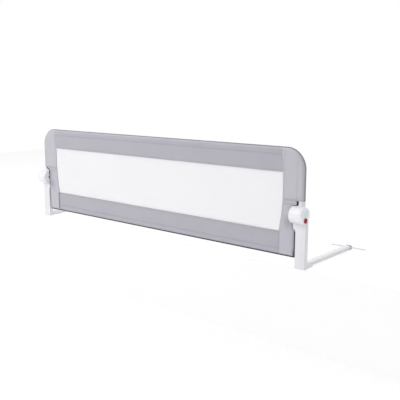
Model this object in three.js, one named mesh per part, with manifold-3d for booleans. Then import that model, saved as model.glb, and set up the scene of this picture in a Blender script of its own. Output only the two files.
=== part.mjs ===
// Folding bed guard rail: a tube frame in a fabric cover with a mesh window, hinged on two white posts.
// Millimetres. X runs along the rail, Y from the room towards the mattress, Z up from the floor.
import * as THREE from 'three';
import { mergeVertices } from 'three/addons/utils/BufferGeometryUtils.js';
import Module from 'manifold-3d';

const wasm = await Module();
wasm.setup();

// Overall sizes
const railLength = 1500; // over the upper piping, end to end
const railHeight = 434; // floor to the top of the piping
const lowerInset = 37; // lower half inside the ends of the upper half
const coverRise = 37; // floor to the underside of the lower piping
const armReach = 357; // middle of a post to the cross bar of its arm

// Clearances
const seatGap = 0.3; // between pieces that touch
const rotorGap = 0.35; // between the rotor and each cheek
const overrun = 2; // how far a cut runs past the face it opens

// Frame tubes
const tubeDiameter = 19;
const tubeWall = 1.2;
const bendRadius = 64; // centre line of the upper bends
const bendStraight = 110; // from the end of a bend to the joint in the top tube
const spigotLength = 40; // how far a swaged end goes into the next tube
const swageLength = 5; // from the full bore to the swaged bore
const elbowLeg = 20; // from the corner of a lower elbow to its shoulder
const elbowSpigot = 25;

// Cover
const clothThickness = 1.2;
const pipingDiameter = 3;
const meshThickness = 0.8;
const meshLap = 10; // seam allowance of the mesh behind the cloth
const hemGap = 2; // between the upper and the lower cover at the fold
const topBand = 90; // cloth above the window
const bottomBand = 91; // cloth below the window
const windowTaperRise = 48; // above the hinge axis, where the sides of the window turn upright
const sideBandTop = 95; // cloth beside the window, from the ends of the rail
const sideBandFold = 99;
const sideBandBottom = 110;
const drumMargin = 2.2; // cloth to the side and the top of the hinge drum

// Hinge drum
const hingeHeight = 197;
const hingeForward = 13; // hinge axis in front of the tubes
const drumRadius = 31;
const drumEdge = 4; // rounding of the drum's two rims
const rotorWidth = 27;
const innerCheek = 15;
const outerCheek = 4.6;

// Tube socket on the rotor
const socketWall = 3.4;
const socketRise = 49; // top of the socket above the hinge axis
const socketFloor = 22; // bottom of its bore above the hinge axis
const socketChamfer = 1;

// Hinge bolt and nut
const boltDiameter = 8;
const boltHeadDiameter = 12;
const boltHeadHeight = 2.7;
const threadDiameter = 6;
const threadLength = 8.5;
const nutAcross = 10;
const nutHeight = 5.5;

// Lock
const lockInset = 14; // lock pin and button inside the edge of the drum
const lockShaftDiameter = 5;
const lockCollarDiameter = 10;
const lockCollarLength = 5;
const lockTail = 3.2; // end of the pin behind its collar, inside the spring
const lockBoreWall = 1.5; // wall left behind the spring
const lockSlotGap = 0.6; // around the pin in the rotor's curved slot
const lockPocketDepth = 6;
const springWire = 0.8;
const springInset = 1; // spring inside the edge of the collar
const springTurns = 4;

// Push button
const buttonDiameter = 18;
const buttonFlange = 1.2; // lip behind the cap
const buttonFlangeHeight = 1.5;
const buttonProud = 3;
const buttonEdge = 1;
const buttonDish = 0.5;
const buttonSocketDepth = 3;
const buttonTravel = 4;

// End cap of the drum
const capDepth = 5.55;
const capWall = 1.6;
const capRim = 2;
const pegDiameter = 5;
const pegLength = 3;
const pegInset = 9; // pegs inside the edge of the drum
const pegAngle = THREE.MathUtils.degToRad(30);

// Post
const postWidth = 43;
const postDepth = 20.8;
const postCorner = 3;
const postWall = 3;
const neckDrop = 13; // from the drum down to where the neck is as wide as the drum
const neckLength = 19; // from there to where it is as wide as the post
const neckRoof = 7; // from the hinge axis to the top of the neck inside the drum
const neckFillet = 12; // between the drum and the front of the post
const postRoof = 14; // solid part of the post under the neck

// Socket for the lower side tube, on the inner cheek
const bossWall = 2.4;
const bossTopDrop = 9; // from the hinge axis
const bossLength = 46;
const bossWebLength = 38; // length of the web between the socket and the cheek
const bossRoof = 7;
const pipingStop = 10; // lower piping ends this far below the socket

// Foot with the arm socket
const footHeight = 10;
const footChamfer = 1.5;
const armSocketLength = 41.3;
const armSocketWall = 3.2;
const armSocketFloor = 1.8; // from the back of the post to the end of the arm
const armSocketCorner = 2;
const tongueInset = 4; // tongue between the socket and the base, inside the sides of the socket
const tongueLength = 20;
const spigotTop = 10; // top of the foot's spigot above its screw

// Support arm
const armWidth = 30;
const armHeight = 15;
const armWall = 1.5;
const armRise = 2; // floor to the underside of the arm
const plugLength = 12;
const plugInsert = 15;
const plugOverhang = 5; // from the cross bar to the end of the plug
const barDiameter = 5;
const barLength = 146;
const barRise = 10;

// Snap button of the arm
const snapDiameter = 6.8;
const snapFlange = 1.6; // lip under the wall of the arm
const snapFlangeHeight = 1.2;
const snapProud = 1;
const snapInset = 20; // from the end of the arm to the button
const leafThickness = 0.6;
const leafWidth = 8;
const leafLength = 28; // from the button to the fold
const leafTail = 5; // from the button to the ends

// Screws
const screwDiameter = 3.5;
const screwHeadDiameter = 6.8;
const screwHeadHeight = 2.2;
const screwBite = 4; // of a screw into the piece that it holds
const screwSink = 1.6; // depth of the seat cut into the tube socket
const socketScrewRise = 36; // above the hinge axis
const footScrewRise = 9.5; // above the arm socket

// Facets
const tubeSides = 16;
const drumSides = 32;
const buttonSides = 24;
const pinSides = 12;
const pipingSides = 6;
const bendSteps = 6;
const ovalSteps = 5; // round each end of a flat oval
const filletSteps = 4;
const slotSteps = 12; // along the rotor's curved slot
const rimSteps = 3;
const cornerSteps = 2;
const neckSteps = 5;
const wireSides = 5;
const wireSteps = 8; // for each turn of the spring

// Worked out from the sizes above: tubes and cover
const tubeRadius = tubeDiameter / 2;
const boreRadius = tubeRadius - tubeWall;
const spigotRadius = boreRadius - seatGap;
const spigotBore = spigotRadius - tubeWall;
const sleeveInner = tubeRadius + seatGap;
const sleeveOuter = sleeveInner + clothThickness;
const pipingOffset = sleeveOuter + seatGap + pipingDiameter / 2;
const edgeToTube = pipingOffset + pipingDiameter / 2;
const upperX = railLength / 2 - edgeToTube;
const upperZ = railHeight - edgeToTube;
const lowerX = upperX - lowerInset;
const lowerZ = coverRise + edgeToTube;
const joinX = upperX - bendRadius - bendStraight;

// Hinge and post, with X measured from the upright tube
const slotHalf = rotorWidth / 2 + rotorGap;
const innerFace = -slotHalf - innerCheek;
const outerFace = slotHalf + outerCheek;
const capBack = outerFace + seatGap;
const capFace = capBack + capDepth;
const capInside = capFace - capWall;
const postBack = postDepth / 2;
const postOutside = capFace;
const postInside = postOutside - postWidth;
const postMiddle = (postInside + postOutside) / 2;
const hollowWidth = postWidth - 2 * postWall;
const hollowDepth = postDepth - 2 * postWall;
const neckTop = hingeHeight - drumRadius - neckDrop;
const neckBottom = neckTop - neckLength;
const socketRadius = sleeveInner + socketWall;
const bossX = -lowerInset;
const bossTop = hingeHeight - bossTopDrop;
const bossBottom = bossTop - bossLength;
const bossBore = bossTop - bossRoof;

// Cover against the hinge
const clothX = upperX + innerFace - drumMargin;
const upperHem = hingeHeight + hemGap / 2;
const lowerHem = hingeHeight - hemGap / 2;
const sleeveBottom = hingeHeight + socketRise + seatGap;
const sleeveTop = bossBottom - seatGap;
const windowTop = railHeight - topBand;
const windowBottom = coverRise + bottomBand;
const windowTaperStart = hingeHeight + windowTaperRise;
const windowHalfTop = railLength / 2 - sideBandTop;
const windowHalfFold = railLength / 2 - sideBandFold;
const windowHalfBottom = railLength / 2 - sideBandBottom;

// Lock and button
const lockDrop = drumRadius - lockInset;
const lockBoreEnd = innerFace + lockBoreWall;
const collarFace = -slotHalf - seatGap;
const collarBack = collarFace - lockCollarLength;
const flangeRadius = buttonDiameter / 2 + buttonFlange;
const buttonBack = capInside - seatGap - buttonFlangeHeight;
const buttonTop = capFace + buttonProud;
const lockTip = buttonBack + buttonSocketDepth;

// Foot and arm
const armStart = postBack + seatGap + armSocketFloor;
const armMiddle = armRise + armHeight / 2;
const armTop = armRise + armHeight;
const armEnd = armReach + plugOverhang - plugLength;
const armSocketBack = postBack + seatGap + armSocketLength;
const armSocketHalf = armWidth / 2 + seatGap + armSocketWall;
const armSocketTop = armTop + seatGap + armSocketWall;
const footScrewZ = armSocketTop + footScrewRise;
const snapY = armStart + snapInset;
const snapSeat = armTop - armWall - seatGap;

// Materials
const whitePlastic = new THREE.MeshStandardMaterial({ color: 0xe9e9ee, roughness: 0.4, metalness: 0 });
const palePlastic = new THREE.MeshStandardMaterial({ color: 0xd3dadc, roughness: 0.35, metalness: 0 });
const greyPlastic = new THREE.MeshStandardMaterial({ color: 0x9a9a9e, roughness: 0.5, metalness: 0 });
const redPlastic = new THREE.MeshStandardMaterial({ color: 0xb03438, roughness: 0.35, metalness: 0 });
const whitePaint = new THREE.MeshStandardMaterial({ color: 0xdcdce0, roughness: 0.35, metalness: 0.2 });
const zincSteel = new THREE.MeshStandardMaterial({ color: 0xb9bcc0, roughness: 0.35, metalness: 0.9 });
const greyCloth = new THREE.MeshStandardMaterial({ color: 0xbcbac4, roughness: 0.9, metalness: 0 });
const whiteMesh = new THREE.MeshStandardMaterial({ color: 0xf4f4f6, roughness: 0.8, metalness: 0 });
const darkPiping = new THREE.MeshStandardMaterial({ color: 0x77757f, roughness: 0.8, metalness: 0 });

// Turns a closed geometry into a solid with its faces pointing out.
function solid(geometry) {
  const plain = new THREE.BufferGeometry();
  plain.setAttribute('position', geometry.getAttribute('position').clone());
  if (geometry.index) plain.setIndex(geometry.index.clone());
  const merged = mergeVertices(plain);
  const points = merged.getAttribute('position');
  const index = merged.index.array;
  const faces = [];
  let volume = 0;
  const a = new THREE.Vector3();
  const b = new THREE.Vector3();
  const c = new THREE.Vector3();
  for (let i = 0; i < index.length; i += 3) {
    const [p, q, r] = [index[i], index[i + 1], index[i + 2]];
    if (p === q || q === r || r === p) continue;
    a.fromBufferAttribute(points, p);
    b.fromBufferAttribute(points, q);
    c.fromBufferAttribute(points, r);
    volume += a.dot(b.cross(c));
    faces.push(p, q, r);
  }
  if (volume < 0) faces.reverse();
  const mesh = new wasm.Mesh({
    numProp: 3,
    vertProperties: new Float32Array(points.array),
    triVerts: new Uint32Array(faces),
  });
  return new wasm.Manifold(mesh);
}

// Gives a solid's surface back as a geometry.
function surface(body) {
  const mesh = body.getMesh();
  const geometry = new THREE.BufferGeometry();
  geometry.setAttribute('position', new THREE.BufferAttribute(new Float32Array(mesh.vertProperties), 3));
  geometry.setIndex(new THREE.BufferAttribute(new Uint32Array(mesh.triVerts), 1));
  geometry.computeVertexNormals();
  return geometry;
}

// The same surface for the other end of the rail
function mirrored(geometry) {
  const other = geometry.clone().scale(-1, 1, 1);
  other.index.array.reverse();
  other.computeVertexNormals();
  return other;
}

function join(first, ...others) {
  return others.reduce((sum, other) => sum.add(other), first);
}

function cut(first, ...others) {
  return others.reduce((rest, other) => rest.subtract(other), first);
}

// Joins rings of equal length into a closed skin: round to the first ring again, or with flat caps.
function skin(rings, closed) {
  const count = rings[0].length;
  const positions = rings.flat().flatMap((p) => [p.x, p.y, p.z]);
  const index = [];
  const last = closed ? rings.length : rings.length - 1;
  for (let i = 0; i < last; i += 1) {
    const here = i * count;
    const next = ((i + 1) % rings.length) * count;
    for (let k = 0; k < count; k += 1) {
      const l = (k + 1) % count;
      index.push(here + k, here + l, next + l, here + k, next + l, next + k);
    }
  }
  if (!closed) {
    const end = (rings.length - 1) * count;
    for (let k = 1; k < count - 1; k += 1) {
      index.push(0, k + 1, k, end, end + k, end + k + 1);
    }
  }
  const geometry = new THREE.BufferGeometry();
  geometry.setAttribute('position', new THREE.Float32BufferAttribute(positions, 3));
  geometry.setIndex(index);
  return solid(geometry);
}

// One ring of a tube whose path lies in the XZ plane. A mitre stretches the ring in that plane.
function tubeRing(station, sides) {
  const across = new THREE.Vector3(-Math.sin(station.heading), 0, Math.cos(station.heading));
  const ring = [];
  for (let k = 0; k < sides; k += 1) {
    const turn = (2 * Math.PI * k) / sides;
    const reach = station.radius * Math.cos(turn) * (station.stretch ?? 1);
    const side = new THREE.Vector3(0, station.radius * Math.sin(turn), 0);
    ring.push(new THREE.Vector3(station.x, 0, station.z).addScaledVector(across, reach).add(side));
  }
  return ring;
}

function withRadius(stations, radius) {
  return stations.map((s) => ({ ...s, radius }));
}

// A hollow tube: its outside along the stations, then its bore back along the inner stations.
function hollowTube(outer, inner) {
  return skin([...outer, ...[...inner].reverse()].map((s) => tubeRing(s, tubeSides)), true);
}

function plainTube(stations) {
  return hollowTube(withRadius(stations, tubeRadius), withRadius(stations, boreRadius));
}

function rod(stations, sides) {
  return skin(stations.map((s) => tubeRing(s, sides)), false);
}

// Stations round a bend in the XZ plane, from one angle to another.
function bend(x, z, radius, from, to) {
  const stations = [];
  for (let i = 0; i <= bendSteps; i += 1) {
    const angle = THREE.MathUtils.lerp(from, to, i / bendSteps);
    stations.push({
      x: x + radius * Math.cos(angle),
      z: z + radius * Math.sin(angle),
      heading: angle + Math.PI / 2,
    });
  }
  return stations;
}

// The upper path, offset outwards from the tubes' centre line: up, over both bends and down.
function upperPath(offset, bottom) {
  const radius = bendRadius + offset;
  const x = upperX - bendRadius;
  const z = upperZ - bendRadius;
  return [
    { x: upperX + offset, z: bottom, heading: Math.PI / 2 },
    ...bend(x, z, radius, 0, Math.PI / 2),
    ...bend(-x, z, radius, Math.PI / 2, Math.PI),
    { x: -upperX - offset, z: bottom, heading: (3 * Math.PI) / 2 },
  ];
}

// The lower path, offset outwards: down one leg, along the bottom with mitred corners and up the other.
function lowerPath(offset, top) {
  const x = lowerX + offset;
  const z = lowerZ - offset;
  return [
    { x, z: top, heading: -Math.PI / 2 },
    { x, z, heading: (-3 * Math.PI) / 4, stretch: Math.SQRT2 },
    { x: -x, z, heading: (-5 * Math.PI) / 4, stretch: Math.SQRT2 },
    { x: -x, z: top, heading: (-3 * Math.PI) / 2 },
  ];
}

// Points of a flat outline from pairs, of a rectangle, and of an arc with both its ends
function outline(pairs) {
  return pairs.map(([across, up]) => new THREE.Vector2(across, up));
}

function rectangle(x0, y0, x1, y1) {
  return outline([[x0, y0], [x1, y0], [x1, y1], [x0, y1]]);
}

function arc(across, up, radius, from, to, steps) {
  const points = [];
  for (let i = 0; i <= steps; i += 1) {
    const angle = THREE.MathUtils.lerp(from, to, i / steps);
    points.push(new THREE.Vector2(across + radius * Math.cos(angle), up + radius * Math.sin(angle)));
  }
  return points;
}

// A flat oval of a width and height about a centre
function oval(width, height, x, z) {
  const radius = height / 2;
  const reach = width / 2 - radius;
  return [
    ...arc(x + reach, z, radius, -Math.PI / 2, Math.PI / 2, ovalSteps),
    ...arc(x - reach, z, radius, Math.PI / 2, (3 * Math.PI) / 2, ovalSteps),
  ];
}

function otherHalf(points) {
  return [...points].reverse().map((p) => new THREE.Vector2(-p.x, p.y));
}

// Extrusion of an outline in Y and Z along X
function alongX(points, from, to) {
  const shape = new THREE.Shape(points);
  const geometry = new THREE.ExtrudeGeometry(shape, { depth: to - from, bevelEnabled: false });
  const turn = new THREE.Matrix4().makeBasis(
    new THREE.Vector3(0, 1, 0),
    new THREE.Vector3(0, 0, 1),
    new THREE.Vector3(1, 0, 0),
  );
  return solid(geometry.applyMatrix4(turn).translate(from, 0, 0));
}

// Extrusion of an outline in X and Z along Y
function alongY(points, from, to) {
  const shape = new THREE.Shape(points);
  const geometry = new THREE.ExtrudeGeometry(shape, { depth: to - from, bevelEnabled: false });
  return solid(geometry.rotateX(Math.PI / 2).translate(0, to, 0));
}

// A turned piece about an axis through a place: its profile lists radius and distance along the axis.
function turned(profile, sides, axis, place = [0, 0, 0]) {
  const geometry = new THREE.LatheGeometry(outline(profile), sides);
  if (axis === 'x') geometry.rotateZ(-Math.PI / 2);
  if (axis === 'z') geometry.rotateX(Math.PI / 2);
  return solid(geometry.translate(...place));
}

// A round bar along an axis through a place
function bar(axis, radius, from, to, place, sides = pinSides) {
  return turned([[0, from], [radius, from], [radius, to], [0, to]], sides, axis, place);
}

// Profile of a rounded rim, from the wall to the flat face. Way is 1 for a face at the far end, else -1.
function rim(radius, face, edge, way) {
  const quarter = arc(0, 0, edge, 0, Math.PI / 2, rimSteps);
  return quarter.map((p) => [radius - edge + p.x, face - way * (edge - p.y)]);
}

// One ring of a rounded rectangle at a height
function rectRing(x0, x1, y0, y1, corner, z) {
  const corners = [
    arc(x1 - corner, y1 - corner, corner, 0, Math.PI / 2, cornerSteps),
    arc(x0 + corner, y1 - corner, corner, Math.PI / 2, Math.PI, cornerSteps),
    arc(x0 + corner, y0 + corner, corner, Math.PI, (3 * Math.PI) / 2, cornerSteps),
    arc(x1 - corner, y0 + corner, corner, (3 * Math.PI) / 2, 2 * Math.PI, cornerSteps),
  ];
  return corners.flat().map((p) => new THREE.Vector3(p.x, p.y, z));
}

// A rounded block about the middle of the post
function postBlock(width, depth, corner, bottom, top) {
  const half = width / 2;
  const ring = (z) => rectRing(postMiddle - half, postMiddle + half, -depth / 2, depth / 2, corner, z);
  return skin([ring(bottom), ring(top)], false);
}

// Upper corner tube: one piece from the hinge socket round the bend, with a swaged end.
function cornerTube() {
  const foot = { x: upperX, z: hingeHeight + socketFloor + seatGap, heading: Math.PI / 2 };
  const turn = bend(upperX - bendRadius, upperZ - bendRadius, bendRadius, 0, Math.PI / 2);
  const along = (x) => ({ x, z: upperZ, heading: Math.PI });
  const outer = [
    ...withRadius([foot, ...turn, along(joinX)], tubeRadius),
    ...withRadius([along(joinX), along(joinX - spigotLength)], spigotRadius),
  ];
  const inner = [
    ...withRadius([foot, ...turn, along(joinX + 2 * swageLength)], boreRadius),
    ...withRadius([along(joinX + swageLength), along(joinX - spigotLength)], spigotBore),
  ];
  const place = [upperX, 0, hingeHeight + socketScrewRise];
  return cut(hollowTube(outer, inner), bar('y', screwDiameter / 2 + seatGap, 0, sleeveOuter, place));
}

function crossTube(reach, z) {
  return plainTube([
    { x: reach, z, heading: Math.PI },
    { x: -reach, z, heading: Math.PI },
  ]);
}

function sideTube() {
  return plainTube([
    { x: bossX, z: lowerZ + elbowLeg + seatGap, heading: Math.PI / 2 },
    { x: bossX, z: bossBore - seatGap, heading: Math.PI / 2 },
  ]);
}

// Solid plastic elbow: a mitred corner as thick as the tubes, with a spigot up and a spigot along.
function elbow() {
  const up = (z) => ({ x: lowerX, z, heading: -Math.PI / 2 });
  const along = (x) => ({ x, z: lowerZ, heading: -Math.PI });
  const corner = { x: lowerX, z: lowerZ, heading: (-3 * Math.PI) / 4, stretch: Math.SQRT2 };
  return rod([
    ...withRadius([up(lowerZ + elbowLeg + elbowSpigot), up(lowerZ + elbowLeg)], spigotRadius),
    ...withRadius([up(lowerZ + elbowLeg), corner, along(lowerX - elbowLeg)], tubeRadius),
    ...withRadius([along(lowerX - elbowLeg), along(lowerX - elbowLeg - elbowSpigot)], spigotRadius),
  ], tubeSides);
}

function sleeve(path) {
  return hollowTube(withRadius(path, sleeveOuter), withRadius(path, sleeveInner));
}

// A flat layer of cloth level with the front of the sleeves
function frontBand(points) {
  return alongY(points, -sleeveOuter, -sleeveInner);
}

// Upper cover: a sleeve round the tubes and a band in front, cut out at the window and round the drums.
function upperCover() {
  const drumTop = hingeHeight + drumRadius + drumMargin;
  const socketX = upperX - socketRadius - drumMargin;
  const right = outline([
    [windowHalfTop, windowTop],
    [windowHalfTop, windowTaperStart],
    [windowHalfFold, upperHem],
    [clothX, upperHem],
    [clothX, drumTop],
    [socketX, drumTop],
    [socketX, sleeveBottom],
  ]);
  const over = upperPath(-clothThickness, sleeveBottom).map((s) => new THREE.Vector2(s.x, s.z));
  return join(sleeve(upperPath(0, sleeveBottom)), frontBand([...right, ...over, ...otherHalf(right)]));
}

// Lower cover: a sleeve round the lower tubes and a band that runs up beside the drums to the fold.
function lowerCover() {
  const right = outline([
    [clothX, sleeveTop],
    [clothX, lowerHem],
    [windowHalfFold, lowerHem],
    [windowHalfBottom, windowBottom],
  ]);
  const under = lowerPath(-clothThickness, sleeveTop).map((s) => new THREE.Vector2(s.x, s.z)).reverse();
  return join(sleeve(lowerPath(0, sleeveTop)), frontBand([...under, ...right, ...otherHalf(right)]));
}

// Half of the mesh window, behind the cloth, from its half widths and heights.
function meshPanel(rows) {
  const right = outline(rows.map(([half, z]) => [half + meshLap, z]));
  const front = -sleeveInner + seatGap;
  return alongY([...right, ...otherHalf(right)], front, front + meshThickness);
}

function upperMesh() {
  return meshPanel([
    [windowHalfFold, upperHem],
    [windowHalfTop, windowTaperStart],
    [windowHalfTop, windowTop + meshLap],
  ]);
}

function lowerMesh() {
  return meshPanel([
    [windowHalfBottom, windowBottom - meshLap],
    [windowHalfBottom, windowBottom],
    [windowHalfFold, lowerHem],
  ]);
}

function piping(path) {
  return rod(withRadius(path, pipingDiameter / 2), pipingSides);
}

// The pieces of one end follow, for the right-hand one.

// The post and its neck: rounded sections that widen to the drum on the inner side.
function postColumn() {
  const ring = (x0, z) => rectRing(x0, postOutside, -postBack, postBack, postCorner, z);
  const rings = [ring(postInside, footHeight + seatGap)];
  for (let i = 0; i <= neckSteps; i += 1) {
    const share = i / neckSteps;
    const x0 = THREE.MathUtils.lerp(postInside, innerFace, THREE.MathUtils.smoothstep(share, 0, 1));
    rings.push(ring(x0, THREE.MathUtils.lerp(neckBottom, neckTop, share)));
  }
  rings.push(ring(innerFace, hingeHeight - neckRoof));
  return skin(rings, false);
}

// The drum on top of the neck, with a rounded inner rim and a fillet down to the front of the post.
function drum() {
  const filletY = -postBack - neckFillet;
  const ahead = filletY + hingeForward;
  const filletDrop = Math.sqrt((drumRadius + neckFillet) ** 2 - ahead ** 2);
  const filletZ = hingeHeight - filletDrop;
  const neck = [
    new THREE.Vector2(postBack, filletZ),
    new THREE.Vector2(postBack, hingeHeight - drumRadius / 2),
    new THREE.Vector2(-hingeForward, hingeHeight),
    ...arc(filletY, filletZ, neckFillet, Math.atan2(filletDrop, -ahead), 0, filletSteps),
  ];
  const round = turned([
    [0, innerFace],
    ...rim(drumRadius, innerFace, drumEdge, -1).reverse(),
    [drumRadius, outerFace],
    [0, outerFace],
  ], drumSides, 'x', [0, -hingeForward, hingeHeight]);
  const inFront = rectangle(-hingeForward - drumRadius, filletZ - overrun, -postBack, hingeHeight);
  return cut(
    join(round, alongX(neck, innerFace + drumEdge, outerFace)),
    alongX(inFront, -slotHalf, slotHalf),
  );
}

// The socket that holds the lower side tube, open in front where the tube touches the cloth
function lowerTubeBoss() {
  const radius = sleeveInner + bossWall;
  const front = -sleeveInner + seatGap;
  const web = rectangle(front, bossTop - bossWebLength, postBack, bossTop);
  const clothSide = rectangle(-radius - overrun, bossBottom - overrun, front, bossTop + overrun);
  return cut(
    join(
      bar('z', radius, bossBottom, bossTop, [bossX, 0, 0], tubeSides),
      alongX(web, bossX, innerFace + overrun),
    ),
    alongX(clothSide, bossX - radius - overrun, bossX + radius + overrun),
  );
}

function hexagon(across, y, z) {
  return arc(y, z, across / Math.sqrt(3), 0, (5 * Math.PI) / 3, 5);
}

// Places of the cap's two pegs, from the hinge axis
function pegPlaces() {
  return [pegAngle, Math.PI - pegAngle].map((angle) => [
    0,
    (drumRadius - pegInset) * Math.cos(angle),
    (drumRadius - pegInset) * Math.sin(angle),
  ]);
}

function post() {
  const axis = [0, -hingeForward, hingeHeight];
  const lockAxis = [0, -hingeForward, hingeHeight - lockDrop];
  const shankEnd = innerFace + threadLength;
  const flangeStop = buttonBack - buttonTravel - seatGap;
  const pegHoles = pegPlaces().map(([, y, z]) => bar(
    'x',
    pegDiameter / 2 + seatGap,
    outerFace - pegLength - seatGap,
    outerFace + overrun,
    [0, y - hingeForward, z + hingeHeight],
  ));
  return cut(
    join(postColumn(), drum(), lowerTubeBoss()),
    bar('x', drumRadius + rotorGap, -slotHalf, slotHalf, axis, drumSides),
    bar('x', drumRadius + seatGap, outerFace, postOutside + overrun, axis, drumSides),
    bar('x', threadDiameter / 2 + seatGap, innerFace - overrun, 0, axis),
    bar('x', boltDiameter / 2 + seatGap, shankEnd - seatGap, outerFace + overrun, axis),
    alongX(
      hexagon(nutAcross + 2 * seatGap, -hingeForward, hingeHeight),
      innerFace - overrun,
      innerFace + nutHeight + seatGap,
    ),
    bar('x', lockCollarDiameter / 2 + seatGap, lockBoreEnd, 0, lockAxis),
    bar('x', lockShaftDiameter / 2 + seatGap, 0, outerFace + overrun, lockAxis),
    bar('x', flangeRadius + seatGap, flangeStop, outerFace + overrun, lockAxis, buttonSides),
    bar('z', sleeveInner, bossBottom - overrun, bossBore, [bossX, 0, 0], tubeSides),
    postBlock(hollowWidth, hollowDepth, postCorner / 2, 0, neckBottom - postRoof),
    bar('y', screwDiameter / 2 + seatGap, 0, postBack + overrun, [postMiddle, 0, footScrewZ]),
    ...pegHoles,
  );
}

// The curved slot that lets the lock pin pass while the rotor turns half a turn
function lockSlot() {
  const half = lockShaftDiameter / 2 + lockSlotGap;
  const down = -Math.PI / 2;
  const up = (-3 * Math.PI) / 2;
  return [
    ...arc(0, 0, lockDrop + half, down, up, slotSteps),
    ...arc(0, lockDrop, half, Math.PI / 2, -Math.PI / 2, filletSteps).slice(1, -1),
    ...arc(0, 0, lockDrop - half, up, down, slotSteps),
    ...arc(0, -lockDrop, half, Math.PI / 2, -Math.PI / 2, filletSteps).slice(1, -1),
  ];
}

// The turning half of the hinge, about its own axis, with the socket for the upper tube
function rotor() {
  const half = rotorWidth / 2;
  const tubePlace = [0, hingeForward, 0];
  const screwSeat = hingeForward + socketRadius - screwSink;
  const screwPlace = [0, 0, socketScrewRise];
  const pocketRadius = lockCollarDiameter / 2 + lockSlotGap;
  const pocket = (z) => bar('x', pocketRadius, -half - overrun, lockPocketDepth - half, [0, 0, z]);
  const barrel = turned([
    [0, 0],
    [socketRadius, 0],
    [socketRadius, socketRise - socketChamfer],
    [socketRadius - socketChamfer, socketRise],
    [0, socketRise],
  ], buttonSides, 'z', tubePlace);
  return cut(
    join(bar('x', drumRadius, -half, half, [0, 0, 0], drumSides), barrel),
    bar('z', sleeveInner, socketFloor, socketRise + overrun, tubePlace, tubeSides),
    bar('x', boltDiameter / 2 + seatGap, -half - overrun, half + overrun, [0, 0, 0]),
    alongX(lockSlot(), -half - overrun, half + overrun),
    pocket(-lockDrop),
    pocket(lockDrop),
    bar('y', screwDiameter / 2 + seatGap, hingeForward, screwSeat + overrun, screwPlace),
    bar('y', screwHeadDiameter / 2 + seatGap, screwSeat, screwSeat + screwSink + overrun, screwPlace),
  );
}

function hingeBolt() {
  const headSeat = outerFace + seatGap;
  const shankEnd = innerFace + threadLength;
  return turned([
    [0, innerFace + seatGap],
    [threadDiameter / 2, innerFace + seatGap],
    [threadDiameter / 2, shankEnd],
    [boltDiameter / 2, shankEnd],
    [boltDiameter / 2, headSeat],
    [boltHeadDiameter / 2, headSeat],
    [boltHeadDiameter / 2, headSeat + boltHeadHeight],
    [0, headSeat + boltHeadHeight],
  ], pinSides, 'x');
}

function hingeNut() {
  return cut(
    alongX(hexagon(nutAcross, 0, 0), innerFace + seatGap, innerFace + nutHeight),
    bar('x', threadDiameter / 2 + seatGap, innerFace - overrun, 0, [0, 0, 0]),
  );
}

function lockPin() {
  const shaft = lockShaftDiameter / 2;
  const collar = lockCollarDiameter / 2;
  return turned([
    [0, collarBack - lockTail],
    [shaft, collarBack - lockTail],
    [shaft, collarBack],
    [collar, collarBack],
    [collar, collarFace],
    [shaft, collarFace],
    [shaft, lockTip - seatGap],
    [0, lockTip - seatGap],
  ], pinSides, 'x');
}

// The push button: a flange behind the cap, a bore for the pin and a dished face
function button() {
  const bore = lockShaftDiameter / 2 + seatGap;
  const radius = buttonDiameter / 2;
  return turned([
    [0, lockTip],
    [bore, lockTip],
    [bore, buttonBack],
    [flangeRadius, buttonBack],
    [flangeRadius, buttonBack + buttonFlangeHeight],
    [radius, buttonBack + buttonFlangeHeight],
    ...rim(radius, buttonTop, buttonEdge, 1),
    [radius / 2, buttonTop - buttonDish / 2],
    [0, buttonTop - buttonDish],
  ], buttonSides, 'x');
}

// The coil spring behind the collar: rings of the wire along a helix about X
function buttonSpring() {
  const wire = springWire / 2;
  const from = lockBoreEnd + seatGap + wire;
  const to = collarBack - seatGap - wire;
  const radius = lockCollarDiameter / 2 - springInset;
  const steps = springTurns * wireSteps;
  const rings = [];
  for (let i = 0; i <= steps; i += 1) {
    const angle = (2 * Math.PI * i) / wireSteps;
    const x = THREE.MathUtils.lerp(from, to, i / steps);
    const section = arc(radius, x, wire, 0, (2 * Math.PI * (wireSides - 1)) / wireSides, wireSides - 1);
    rings.push(section.map((p) => new THREE.Vector3(p.y, p.x * Math.cos(angle), p.x * Math.sin(angle))));
  }
  return skin(rings, false);
}

// The cap on the outer end of the drum: a shallow cup with an opening for the button and two pegs
function endCap() {
  const bore = drumRadius - capRim;
  const cup = turned([
    [0, capInside],
    [bore, capInside],
    [bore, capBack],
    [drumRadius, capBack],
    ...rim(drumRadius, capFace, drumEdge, 1),
    [0, capFace],
  ], drumSides, 'x');
  const lockAxis = [0, 0, -lockDrop];
  const opening = bar('x', buttonDiameter / 2 + seatGap, capBack, capFace + overrun, lockAxis, buttonSides);
  const pegTip = outerFace - pegLength;
  const pegs = pegPlaces().map((p) => bar('x', pegDiameter / 2, pegTip, capInside + capWall / 2, p));
  return cut(join(cup, ...pegs), opening);
}

// A pan head screw along Y, its head towards the mattress, measured from the seat of its head
function screw(reach) {
  return turned([
    [0, -reach],
    [screwDiameter / 2, -reach],
    [screwDiameter / 2, 0],
    [screwHeadDiameter / 2, 0],
    [screwHeadDiameter / 2, screwHeadHeight / 2],
    [screwHeadDiameter / 3, screwHeadHeight],
    [0, screwHeadHeight],
  ], pinSides, 'y');
}

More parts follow.
